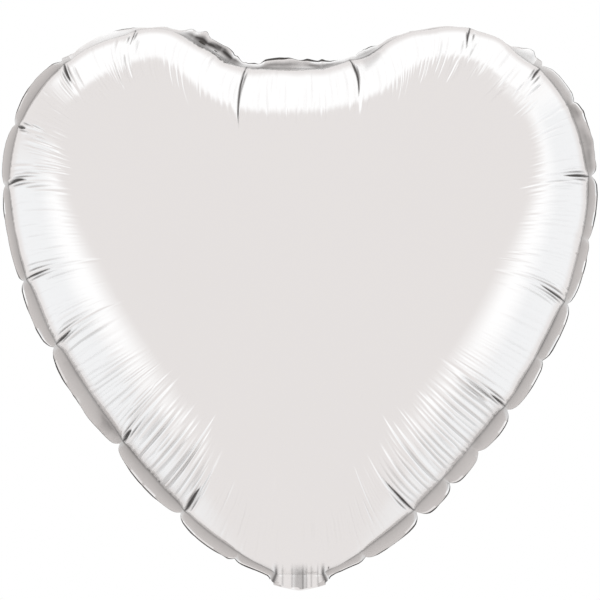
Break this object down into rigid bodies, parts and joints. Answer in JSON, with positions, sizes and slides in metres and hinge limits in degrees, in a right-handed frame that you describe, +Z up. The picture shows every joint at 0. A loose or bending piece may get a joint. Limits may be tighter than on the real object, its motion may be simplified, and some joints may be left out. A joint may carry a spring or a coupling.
{
  "type": "heart-shaped foil balloon",
  "caption": "Inflated heart-shaped foil balloon: silver film panels sealed round the edge, with an inner valve and a fold-back filling tail.",
  "frame": {"origin": "middle of the crease at the neck, at the heart's bottom tip, on the middle plane of the sealed rim", "axes": "+Z up the heart from the tip to the cleft, -Y out of the front panel, +X across the heart to the right in the front view"},
  "size_m": [0.395, 0.189, 0.3763],
  "materials": {
    "front_film": "bright metallised nylon film",
    "back_film": "bright metallised nylon film",
    "welded_film": "heat-sealed rim, slightly duller",
    "clear_film": "thin clear polyethylene"
  },
  "bodies": {
    "envelope": {"front_foil": "front_film", "back_foil": "back_film", "perimeter_seal_weld": "welded_film", "valve_inner_front": "clear_film", "valve_inner_back": "clear_film"},
    "tail": {"tail_front_foil": "front_film", "tail_back_foil": "back_film", "tail_side_weld_left": "welded_film", "tail_side_weld_right": "welded_film", "valve_tail_front": "clear_film", "valve_tail_back": "clear_film"}
  },
  "joints": [
    {"name": "tail_fold", "type": "hinge", "parent": "envelope", "child": "tail", "pos_m": [0, 0.00105, 0], "axis": [-1, 0, 0], "range_deg": [0, 155]}
  ]
}
